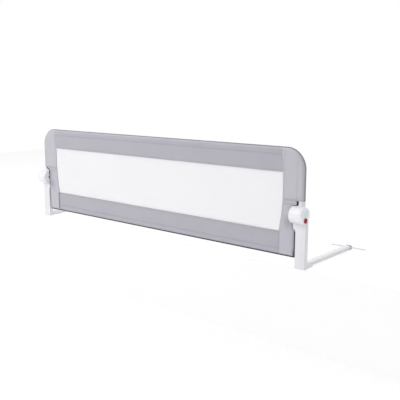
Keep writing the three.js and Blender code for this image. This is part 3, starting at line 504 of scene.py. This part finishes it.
def polyester_net(name, colour):
    """Warp-knitted polyester net: fine threads round small open holes. The eye sees a bright veil, open to the light.
    Real holes lie 1.5 mm apart and are drawn 2 mm apart, so that they show."""
    made, tree = blank(name)
    place = add(tree, "ShaderNodeUVMap", {"uv_map": "cloth"})
    holes = add(tree, "ShaderNodeTexVoronoi", {
        "feature": "DISTANCE_TO_EDGE", "Scale": 1 / NET_PITCH, "Randomness": 0.12, "Vector": place.outputs["UV"]})
    thread = add(tree, "ShaderNodeMapRange", {
        "From Min": 0.22, "From Max": 0.30, "To Min": 1.0, "To Max": 0.35, "Value": holes.outputs["Distance"]})
    bump = add(tree, "ShaderNodeBump", {"Strength": 0.4, "Distance": 0.0003, "Height": thread.outputs["Result"]})
    return surfaced(made, {
        "Base Color": colour, "Alpha": thread.outputs["Result"], "Normal": bump.outputs["Normal"], "Roughness": 0.8,
        "IOR": 1.5, "Specular IOR Level": 0.3})


def corded_edge(name, colour):
    """Bias tape sewn round a cord: twisted dark grey piping. The eye sees a thin dark line with slanted threads. Real
    threads lie 0.3 mm apart and are drawn 1.2 mm apart, so that they show."""
    made, tree = blank(name)
    place = add(tree, "ShaderNodeUVMap", {"uv_map": "cloth"}).outputs["UV"]
    twist = add(tree, "ShaderNodeTexWave", {
        "Scale": WAVE_SCALE / TWIST_PITCH, "bands_direction": "DIAGONAL", "Vector": place})
    bump = add(tree, "ShaderNodeBump", {"Strength": 0.5, "Distance": 0.0003, "Height": twist.outputs["Fac"]})
    return surfaced(made, {
        "Base Color": varied(tree, place, colour, 14.0, 0.10), "Normal": bump.outputs["Normal"], "Roughness": 0.8,
        "IOR": 1.5, "Specular IOR Level": 0.3, "Sheen Weight": 0.15})


def near_hinge(tree, place, reach_y, reach_z, dy, dz, full):
    """Share from 0 outside an ellipse round the hinge's axis to 1 inside it. Its middle lies dy and dz off the axis
    and it is 1 from the full share of the way in."""
    oval = add(tree, "ShaderNodeMapping", {
        "Location": (0.0, -(HINGE_Y + dy) / reach_y, -(HINGE_Z + dz) / reach_z),
        "Scale": (0.0, 1 / reach_y, 1 / reach_z), "Vector": place})
    inside = add(tree, "ShaderNodeTexGradient", {"gradient_type": "SPHERICAL", "Vector": oval.outputs["Vector"]})
    return add(tree, "ShaderNodeMapRange", {
        "From Min": 0.0, "From Max": full, "Value": inside.outputs["Fac"]}).outputs["Result"]


def moulded(name, colour, roughness, grain, thick=None, gloss=0.5):
    """An injection-moulded plastic with a fine spark-eroded grain of this many metres. The eye sees a soft gloss,
    uneven by a shade where the melt cooled. Thick is the whiter colour of a painted highlight on the hinge drum,
    round a point a little above its axis."""
    made, tree = blank(name)
    place = add(tree, "ShaderNodeTexCoord").outputs["Object"]
    dots = add(tree, "ShaderNodeTexNoise", {"Scale": 1 / grain, "Detail": 2.0, "Vector": place})
    bump = add(tree, "ShaderNodeBump", {"Strength": 0.12, "Distance": 0.0002, "Height": dots.outputs["Fac"]})
    # painted highlight: the drum is whiter round a point a little above the hinge's axis
    if thick is not None:
        share = near_hinge(tree, place, 1.5 * DRUM_RADIUS, 1.15 * DRUM_RADIUS, 0.0, 0.008, 0.25)
        colour = add(tree, "ShaderNodeMix", {"data_type": "RGBA", 0: share, 6: colour, 7: thick}).outputs[2]
    return surfaced(made, {
        "Base Color": varied(tree, place, colour, 7.0, 0.02), "Normal": bump.outputs["Normal"],
        "Roughness": roughness, "IOR": 1.49, "Specular IOR Level": gloss})


def tinted_cap(name, colour, rim):
    """Injection-moulded ABS from a polished mould: smooth, with a soft gloss. The middle of the cap is tinted mint.
    Its edge is nearly white."""
    made, tree = blank(name)
    place = add(tree, "ShaderNodeTexCoord").outputs["Object"]
    tint = near_hinge(tree, place, 0.70 * DRUM_RADIUS, 0.52 * DRUM_RADIUS, 0.003, 0.008, 0.45)
    mix = add(tree, "ShaderNodeMix", {"data_type": "RGBA", 0: tint, 6: rim, 7: colour})
    return surfaced(made, {
        "Base Color": varied(tree, place, mix.outputs[2], 7.0, 0.02), "Roughness": 0.3, "IOR": 1.52,
        "Specular IOR Level": 0.5})


def powder_coat(name, colour):
    """Powder-coated steel tube: baked paint with a faint orange peel about 1.5 mm across, half glossy."""
    made, tree = blank(name)
    place = add(tree, "ShaderNodeTexCoord").outputs["Object"]
    peel = add(tree, "ShaderNodeTexNoise", {"Scale": 1 / 0.0015, "Detail": 1.0, "Vector": place})
    bump = add(tree, "ShaderNodeBump", {"Strength": 0.15, "Distance": 0.0002, "Height": peel.outputs["Fac"]})
    return surfaced(made, {
        "Base Color": varied(tree, place, colour, 5.0, 0.02), "Normal": bump.outputs["Normal"], "Roughness": 0.33,
        "IOR": 1.5, "Specular IOR Level": 0.5, "Coat Weight": 0.15, "Coat Roughness": 0.2})


def zinc_plate(name, colour):
    """Zinc-plated steel: bright grey with a faint spangle about 3 mm across and slightly uneven gloss."""
    made, tree = blank(name)
    place = add(tree, "ShaderNodeTexCoord").outputs["Object"]
    spangle = add(tree, "ShaderNodeTexNoise", {"Scale": 1 / 0.003, "Detail": 2.0, "Vector": place})
    gloss = add(tree, "ShaderNodeMapRange", {"To Min": 0.25, "To Max": 0.45, "Value": spangle.outputs["Fac"]})
    return surfaced(made, {
        "Base Color": varied(tree, place, colour, 60.0, 0.12), "Roughness": gloss.outputs["Result"],
        "Metallic": 1.0})


def white_paper(name, colour):
    """Matt white paper. A camera ray sees four fifths of a plain white glow on it, so that the floor reads as white
    and keeps the rail's shadow."""
    made, tree = blank(name)
    matt = add(tree, "ShaderNodeBsdfPrincipled", {"Base Color": colour, "Roughness": 0.9})
    glow = add(tree, "ShaderNodeEmission", {"Color": WHITE})
    path = add(tree, "ShaderNodeLightPath")
    share = add(tree, "ShaderNodeMath", {"operation": "MULTIPLY", 0: path.outputs["Is Camera Ray"], 1: 0.80})
    mix = add(tree, "ShaderNodeMixShader", {
        "Fac": share.outputs["Value"], 1: matt.outputs["BSDF"], 2: glow.outputs["Emission"]})
    add(tree, "ShaderNodeOutputMaterial", {"Surface": mix.outputs["Shader"]})
    return made


# ---- pieces

def chosen(context):
    """The rail's sizes and colours, as the user has set them."""
    return context.scene.rail_sizes, context.scene.rail_colours


class BEDRAIL_OT_side_cloth(bpy.types.Operator):
    """Cloth beside the window on both ends, in one piece over the fold"""

    bl_idname = "bedrail.side_cloth"
    bl_label = "Side cloth"

    def execute(self, context):
        sizes, colours = chosen(context)
        cloth = woven_polyester("woven_polyester_light", colours.side_cloth, colours.seam, colours.side_cloth_lower)
        cord = corded_edge("corded_edge_binding", colours.lower_piping)
        for side, way in SIDES:
            turn = np.array([way, 1.0])
            outer, normal, inner, sleeve = side_path(sizes, way)
            piece = dressed(f"side_cloth_{side}", outer * turn, normal * turn, inner * turn, sleeve,
                            side_seams_and_shade(sizes, way), sizes, None, cloth)
            over_fold(piece)
            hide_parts("upper_cover", "lower_cover")
            # the cut-out's dark cord, whose thick part beside the socket stands in for the shadowed gap
            line, out, radius, forward = cutout_line(sizes, way)
            binding = cord_mesh(f"cutout_binding_{side}", line * turn, out * turn, radius,
                                RAIL_Y - sizes.sleeve_radius + sizes.cloth_thickness / 2 - forward, None, cord)
            over_fold(binding)
        return {"FINISHED"}


class BEDRAIL_OT_band_cloth(bpy.types.Operator):
    """Cloth above and below the window"""

    bl_idname = "bedrail.band_cloth"
    bl_label = "Band cloth"

    def execute(self, context):
        sizes, colours = chosen(context)
        cloth = woven_polyester("woven_polyester_grey", colours.band_cloth, colours.seam)
        bands = (
            ("top_band_cloth", sizes.window_half_top, sizes.window_top, UPPER_Z, 1.0, sizes.seam_lean,
             "upper_frame", "upper_cover", "upper_cross_tube"),
            ("bottom_band_cloth", sizes.window_half_bottom, sizes.window_bottom, LOWER_Z, -1.0, 0.0,
             "base", "lower_cover", "lower_cross_tube"))
        for name, half, edge, line, way, lean, body, node, tube in bands:
            x = np.linspace(0.0003 - half, half - 0.0003, 330) + sizes.window_shift
            outer = np.stack([x - lean, np.full_like(x, line)], -1)
            inner = np.stack([x, np.full_like(x, edge)], -1)
            normal = np.tile([0.0, way], (len(x), 1))
            sleeve = np.full(len(x), True)
            piece = dressed(name, outer, normal, inner, sleeve, band_seams(line, edge, way), sizes, body, cloth)
            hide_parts(node)
        return {"FINISHED"}


class BEDRAIL_OT_net(bpy.types.Operator):
    """Net in the window, in one piece over the fold"""

    bl_idname = "bedrail.net"
    bl_label = "Window net"

    def execute(self, context):
        sizes, colours = chosen(context)
        z = np.concatenate([
            np.linspace(sizes.window_bottom - NET_LAP, HINGE_Z - 0.005, 34),
            np.linspace(HINGE_Z - FOLD_REACH, HINGE_Z + FOLD_REACH, 9),
            np.linspace(HINGE_Z + 0.005, sizes.window_top + NET_LAP, 60)])
        share = np.linspace(-1, 1, 330)
        half = window_edge(z, sizes) + NET_LAP
        x = share[None, :] * half[:, None] + sizes.window_shift
        zz = np.repeat(z[:, None], len(share), 1)
        calm = (ramp((1 - np.abs(share)) * half[:, None], NET_LAP, NET_LAP + 0.03)
                * ramp(zz, sizes.window_bottom, sizes.window_bottom + 0.03)
                * ramp(sizes.window_top - zz, 0.0, 0.03) * ramp(np.abs(zz - HINGE_Z), FOLD_REACH, 0.03))
        y = NET_Y + calm * NET_SAG * (1 + wrinkles(x * 0.6, zz * 0.4))
        front = np.stack([x, y + RAIL_Y, zz], -1)
        rings = np.concatenate([front, front[:, ::-1] + np.array([0.0, NET_THICK, 0.0])], 1)
        rows, columns = rings.shape[:2]
        k = np.arange(columns // 2 - 1)
        end = np.stack([k, k + 1, columns - 2 - k, columns - 1 - k], -1)  # quads from the front to the back
        faces = np.concatenate([ring_faces(rows, columns), end, end + (rows - 1) * columns]).tolist()
        net = polyester_net("polyester_net_white", colours.net)
        piece = make_mesh("window_net", rings, faces, None, net, uv=rings[..., [0, 2]])
        over_fold(piece)
        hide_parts("upper_mesh", "lower_mesh")
        return {"FINISHED"}


def over_fold(piece):
    """Moves a piece's placement into its mesh."""
    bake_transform(piece)


def cutout_line(sizes, way):
    """The cut-out's edge from the upper sleeve, round the drum, to the lower sleeve. Also its outward normals, the
    cord's radius and how far the cord lies before the cloth. The cord is thick beside the right-hand socket, longer
    and thinner beside the left-hand one, and thin round the drum. Its thick, dark part stands in for the shadow in
    the gap between the cloth and the socket."""
    z = np.concatenate([np.linspace(SLEEVE_BOTTOM - 0.0005, DRUM_TOP - 0.005, 36),
                        np.linspace(DRUM_TOP - 0.006, SLEEVE_TOP + 0.0005, 40)])
    line = np.stack([hem_x(z, way), z], -1)
    along = np.gradient(line, axis=0)
    out = np.stack([-along[:, 1], along[:, 0]], -1) / np.linalg.norm(along, axis=1, keepdims=True)
    passed = way_along(line)
    # where the dark cord thickens and comes forward it stands in for the shadow in the gap beside the socket
    gap_shadow_share = ramp(-passed, -0.026, -0.012) if way > 0 else 0.4 * ramp(-passed, -0.060, -0.035)
    return line, out, sizes.binding_radius * (1 + 1.7 * gap_shadow_share), BINDING_FORWARD * gap_shadow_share


def carried(name, line, normal, out, across, y, round_way, body, cord):
    """A profile carried along a line in the rail's plane, at depth y, and turned to the line's outward normals. Out
    and across give the profile, and round_way the way round it."""
    points = np.stack([line[:, None, 0] + normal[:, None, 0] * out, np.reshape(y, (-1, 1)) + across,
                       line[:, None, 1] + normal[:, None, 1] * out], -1)
    uv = np.stack(np.meshgrid(way_along(line), round_way, indexing="ij"), -1)
    return make_mesh(name, points, closed_strip(points), body, cord, uv=uv, sharp=60)


def cord_mesh(name, line, normal, radius, y, body, cord):
    """A round cord along a line: a circle whose radius and depth y change on the way."""
    angle = np.linspace(0, 2 * math.pi, 10, endpoint=False)
    return carried(name, line, normal, radius[:, None] * np.cos(angle), radius[:, None] * np.sin(angle), y,
                   radius.mean() * angle, body, cord)


def piping_mesh(name, line, normal, r, body, cord):
    """Piping: a round cord of radius r, 300 degrees of it in sight, with a thin web down to the sleeve."""
    angle = np.linspace(-math.radians(150), math.radians(150), 13)
    out = np.concatenate([r * np.cos(angle), [-1.25 * r, -1.25 * r]])
    across = np.tile(np.concatenate([r * np.sin(angle), [0.35 * r, -0.35 * r]]), (len(line), 1))
    return carried(name, line, normal, out, across, RAIL_Y, np.linspace(0, 2 * math.pi * r, len(out)), body, cord)


def both_ends(upright, bend, bend_normal):
    """A line along the right-hand end and round its bend, carried on by its mirror image, with outward normals."""
    line = np.concatenate([upright, bend])
    normal = np.concatenate([np.tile([1.0, 0.0], (len(upright), 1)), bend_normal])
    flip = np.array([-1.0, 1.0])
    return np.concatenate([line, line[::-1] * flip]), np.concatenate([normal, normal[::-1] * flip])


class BEDRAIL_OT_piping(bpy.types.Operator):
    """Corded edge round the cover"""

    bl_idname = "bedrail.piping"
    bl_label = "Piping"

    def execute(self, context):
        sizes, colours = chosen(context)
        cord = corded_edge("corded_edge_grey", colours.piping)
        # the lower piping's dark colour is painted shade
        dark_cord = corded_edge("corded_edge_dark", colours.lower_piping)
        bend, normal = bend_points(sizes, 28)
        line, normals = both_ends(np.linspace([UPPER_X, SLEEVE_BOTTOM + 0.0005], bend[0], 30)[:-1], bend, normal)
        piece = piping_mesh("upper_piping_cord", line + normals * sizes.piping_offset, normals, sizes.piping_radius,
                            "upper_frame", cord)
        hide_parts("upper_piping")
        outside = sizes.piping_offset + LOWER_PIPING_OUT
        x, z = LOWER_X + outside, LOWER_Z - outside
        turn = np.linspace(0, math.pi / 2, 7)
        normal = np.stack([np.cos(turn), -np.sin(turn)], -1)
        bend = np.array([x - LOWER_PIPING_BEND, z + LOWER_PIPING_BEND]) + LOWER_PIPING_BEND * normal
        line, normals = both_ends(np.linspace([x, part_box("lower_piping")[1].z], bend[0], 24)[:-1], bend, normal)
        piece = piping_mesh("lower_piping_cord", line, normals, sizes.lower_piping_radius, "base", dark_cord)
        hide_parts("lower_piping")
        return {"FINISHED"}


def finish_nodes(names, made, edge):
    """Gives frame nodes a material and rounded, smoothly shaded edges."""
    for name in names:
        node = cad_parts[name]
        node.data.materials.clear()
        node.data.materials.append(made)
        node.data.polygons.foreach_set("use_smooth", np.ones(len(node.data.polygons), bool))
        weld = node.modifiers.new("weld", "WELD")
        weld.merge_threshold = 1e-6
        if edge > 0:
            bevel = node.modifiers.new("edges", "BEVEL")
            bevel.width = edge
            bevel.segments = 2
            bevel.limit_method = "ANGLE"
            bevel.angle_limit = math.radians(50)
        even = node.modifiers.new("even", "WEIGHTED_NORMAL")
        even.keep_sharp = True


def both(*names):
    """The right-hand and left-hand nodes of these names."""
    return [f"{name}_{side}" for name in names for side, _ in SIDES]


class BEDRAIL_OT_housings(bpy.types.Operator):
    """Posts, hinge rotors and feet in moulded white polypropylene"""

    bl_idname = "bedrail.housings"
    bl_label = "Posts and hinges"

    def execute(self, context):
        sizes, colours = chosen(context)
        # thick: the colour of the painted highlight on the hinge drums
        white = moulded("polypropylene_white", colours.post, 0.38, 0.0006, thick=colours.drum)
        finish_nodes(both("post", "rotor", "foot"), white, sizes.edge_round)
        return {"FINISHED"}


class BEDRAIL_OT_caps(bpy.types.Operator):
    """End caps of the hinge drums"""

    bl_idname = "bedrail.caps"
    bl_label = "End caps"

    def execute(self, context):
        colours = context.scene.rail_colours
        finish_nodes(both("end_cap"), tinted_cap("abs_pale_mint", colours.cap, colours.cap_rim), 0.0)
        return {"FINISHED"}


class BEDRAIL_OT_buttons(bpy.types.Operator):
    """Red push buttons"""

    bl_idname = "bedrail.buttons"
    bl_label = "Push buttons"

    def execute(self, context):
        red = moulded("abs_red", context.scene.rail_colours.button, 0.45, 0.0008, gloss=0.2)
        finish_nodes(both("button"), red, 0.0)
        return {"FINISHED"}


class BEDRAIL_OT_arms(bpy.types.Operator):
    """Arms, their cross bars and plugs, and the tubes of the frame"""

    bl_idname = "bedrail.arms"
    bl_label = "Arms and tubes"

    def execute(self, context):
        sizes, colours = chosen(context)
        coat = powder_coat("powder_coat_white", colours.arm)
        finish_nodes(both("arm", "cross_bar", "corner_tube", "side_tube") + ["upper_cross_tube", "lower_cross_tube"],
                     coat, 0.0)
        grey = moulded("polyamide_grey", colours.plug, 0.5, 0.0006)
        finish_nodes(both("arm_plug", "elbow"), grey, sizes.edge_round)
        return {"FINISHED"}


def coil_sections(low, high, wire, turns, per_turn=20, sides=8):
    """Rings of a coil's wire along X, inside a box. Centre: x rises evenly over the turns, and y and z follow a
    circle. Each ring is a circle in the plane of X and the coil's own radius."""
    angle = 2 * math.pi * np.arange(turns * per_turn + 1) / per_turn
    x = np.linspace(low.x + wire, high.x - wire, len(angle))
    radius = (high.z - low.z) / 2 - wire
    turn = np.linspace(0, 2 * math.pi, sides, endpoint=False)
    out = radius + wire * np.cos(turn)[None, :]
    return np.stack([x[:, None] + wire * np.sin(turn)[None, :], (low.y + high.y) / 2 + out * np.cos(angle)[:, None],
                     (low.z + high.z) / 2 + out * np.sin(angle)[:, None]], -1)


def leaf_sections(low, high, thick, fold):
    """Rings of a leaf spring along its centre line: down from the button, half round the fold, and back along the
    floor. Each ring is the strip's four corners, across X and along the line's normal."""
    top, bottom, middle_z = high.z - thick / 2, low.z + thick / 2, (low.z + high.z) / 2
    end = high.y - thick / 2 - fold
    turn = np.linspace(math.pi / 2, -math.pi / 2, 13)
    bend = np.stack([end + fold * np.cos(turn), middle_z + fold * np.sin(turn)], -1)
    run = np.linspace([low.y, top], bend[0], 12)[:-1]
    back = np.linspace(bend[-1], [low.y, bottom], 12)[1:]
    line = np.concatenate([run, bend, back])
    along = np.gradient(line, axis=0)
    along /= np.linalg.norm(along, axis=1, keepdims=True)
    normal = np.stack([-along[:, 1], along[:, 0]], -1) * thick / 2
    corners = [(low.x, -1), (high.x, -1), (high.x, 1), (low.x, 1)]
    return np.stack([np.column_stack([np.full(len(line), x), line + way * normal]) for x, way in corners], 1)


class BEDRAIL_OT_springs(bpy.types.Operator):
    """Springs of the push buttons and of the snap buttons"""

    bl_idname = "bedrail.springs"
    bl_label = "Springs"

    def execute(self, context):
        steel = zinc_plate("spring_steel_zinc", context.scene.rail_colours.zinc)
        for side, way in SIDES:
            low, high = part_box(f"button_spring_{side}")
            rings = coil_sections(low, high, COIL_WIRE, COIL_TURNS)
            coil = make_mesh(f"button_coil_{side}", rings, closed_strip(rings), "base", steel)
            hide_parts(f"button_spring_{side}")
            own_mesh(coil)
            low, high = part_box(f"snap_spring_{side}")
            rings = leaf_sections(low, high, LEAF_THICK, LEAF_FOLD)
            leaf = make_mesh(f"snap_leaf_{side}", rings, closed_strip(rings), "base", steel, sharp=60)
            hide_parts(f"snap_spring_{side}")
            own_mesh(leaf)
        return {"FINISHED"}


class BEDRAIL_OT_fasteners(bpy.types.Operator):
    """Bolts, nuts, pins and screws in zinc-plated steel"""

    bl_idname = "bedrail.fasteners"
    bl_label = "Fasteners"

    def execute(self, context):
        zinc = zinc_plate("zinc_plated_steel", context.scene.rail_colours.zinc)
        finish_nodes(both("hinge_bolt", "hinge_nut", "lock_pin", "socket_screw", "foot_screw", "snap_button"),
                     zinc, 0.0)
        return {"FINISHED"}


# ---- stage

def stage_block(name, low, high, made):
    """A plain block of the stage between two corners."""
    low, high = np.array(low), np.array(high)
    share = np.array([[x, y, z] for x in (0, 1) for y in (0, 1) for z in (0, 1)], float)
    faces = [(0, 1, 3, 2), (4, 6, 7, 5), (0, 4, 5, 1), (2, 3, 7, 6), (0, 2, 6, 4), (1, 5, 7, 3)]
    mesh = bpy.data.meshes.new(name)
    mesh.from_pydata((low + share * (high - low)).tolist(), [], faces)
    mesh.materials.append(made)
    placed(name, mesh)


def studio_world():
    """White light all round. Camera, glossy and transmission rays see it in full, and all others 0.6 of it."""
    world = bpy.data.worlds.new("studio")
    world.use_nodes = True
    sky = world.node_tree
    sky.nodes.clear()
    path = add(sky, "ShaderNodeLightPath")
    seen = add(sky, "ShaderNodeMath", {
        "operation": "MAXIMUM", 0: path.outputs["Is Camera Ray"], 1: path.outputs["Is Glossy Ray"]})
    seen = add(sky, "ShaderNodeMath", {
        "operation": "MAXIMUM", 0: seen.outputs["Value"], 1: path.outputs["Is Transmission Ray"]})
    soft, white = (add(sky, "ShaderNodeBackground", {"Color": WHITE, "Strength": glow}) for glow in (0.6, 1.0))
    mix = add(sky, "ShaderNodeMixShader", {
        "Fac": seen.outputs["Value"], 1: soft.outputs["Background"], 2: white.outputs["Background"]})
    add(sky, "ShaderNodeOutputWorld", {"Surface": mix.outputs["Shader"]})
    return world


class BEDRAIL_OT_stage(bpy.types.Operator):
    """Pale floor, soft light and the camera"""

    bl_idname = "bedrail.stage"
    bl_label = "Stage"

    def execute(self, context):
        scene = context.scene
        paper = white_paper("white_paper", scene.rail_colours.paper)
        edge = FEET_FRONT_Y - 0.0021
        stage_block("bed_base_surface", (-3.5, edge, -0.3), (3.5, 2.2, 0.0), paper)
        stage_block("floor", (-6.0, -6.0, -0.31), (6.0, edge, -0.30), paper)
        scene.world = studio_world()

        for name, place, aim, size, power in (
                ("key_light", (-1.3, -3.1, 2.7), (0.0, RAIL_Y, 0.2), 1.6, 60.0),
                ("top_light", (-0.2, 0.8, 3.0), (0.0, 0.0, 0.1), 2.6, 65.0)):
            lamp = bpy.data.lights.new(name, "AREA")
            lamp.size = size
            lamp.energy = power
            light = placed(name, lamp)
            light.location = place
            light.rotation_euler = (Vector(aim) - Vector(place)).to_track_quat("-Z", "Y").to_euler()

        lens = bpy.data.cameras.new("camera")
        lens.lens = 57.46
        lens.sensor_width = 36.0
        camera = placed("camera", lens)
        yaw, pitch = math.radians(40.49), math.radians(10.34)
        camera.location = (1.89727, RAIL_Y - 1.91314, 0.65301)
        ahead = Vector((-math.sin(yaw) * math.cos(pitch), math.cos(yaw) * math.cos(pitch), -math.sin(pitch)))
        camera.rotation_euler = ahead.to_track_quat("-Z", "Y").to_euler()
        scene.camera = camera
        scene.view_settings.view_transform = "Standard"
        return {"FINISHED"}


OPERATORS = (
    BEDRAIL_OT_side_cloth, BEDRAIL_OT_band_cloth, BEDRAIL_OT_net, BEDRAIL_OT_piping, BEDRAIL_OT_housings,
    BEDRAIL_OT_caps, BEDRAIL_OT_buttons, BEDRAIL_OT_arms, BEDRAIL_OT_fasteners, BEDRAIL_OT_springs,
    BEDRAIL_OT_stage,
)


class BEDRAIL_PT_panel(bpy.types.Panel):
    """Lists the pieces of the rail and their sizes and colours"""

    bl_idname = "BEDRAIL_PT_panel"
    bl_label = "Bed rail"
    bl_space_type = "VIEW_3D"
    bl_region_type = "UI"
    bl_category = "Bed Rail"

    def draw(self, context):
        column = self.layout.column()
        for operator in OPERATORS:
            column.operator(operator.bl_idname)
        for group in chosen(context):
            for name in group.__annotations__:
                column.prop(group, name)


CLASSES = (RailSizes, RailColours, *OPERATORS, BEDRAIL_PT_panel)


def register():
    """Adds the classes and the rail's settings to the scene."""
    for cls in CLASSES:
        bpy.utils.register_class(cls)
    bpy.types.Scene.rail_sizes = bpy.props.PointerProperty(type=RailSizes)
    bpy.types.Scene.rail_colours = bpy.props.PointerProperty(type=RailColours)


def unregister():
    """Takes the settings and classes away again."""
    del bpy.types.Scene.rail_sizes
    del bpy.types.Scene.rail_colours
    for cls in reversed(CLASSES):
        bpy.utils.unregister_class(cls)


def main():
    """Builds every piece in order."""
    register()
    bpy.ops.bedrail.side_cloth()
    bpy.ops.bedrail.band_cloth()
    bpy.ops.bedrail.net()
    bpy.ops.bedrail.piping()
    bpy.ops.bedrail.housings()
    bpy.ops.bedrail.caps()
    bpy.ops.bedrail.buttons()
    bpy.ops.bedrail.arms()
    bpy.ops.bedrail.fasteners()
    bpy.ops.bedrail.springs()
    bpy.ops.bedrail.stage()


if __name__ == "__main__":
    main()
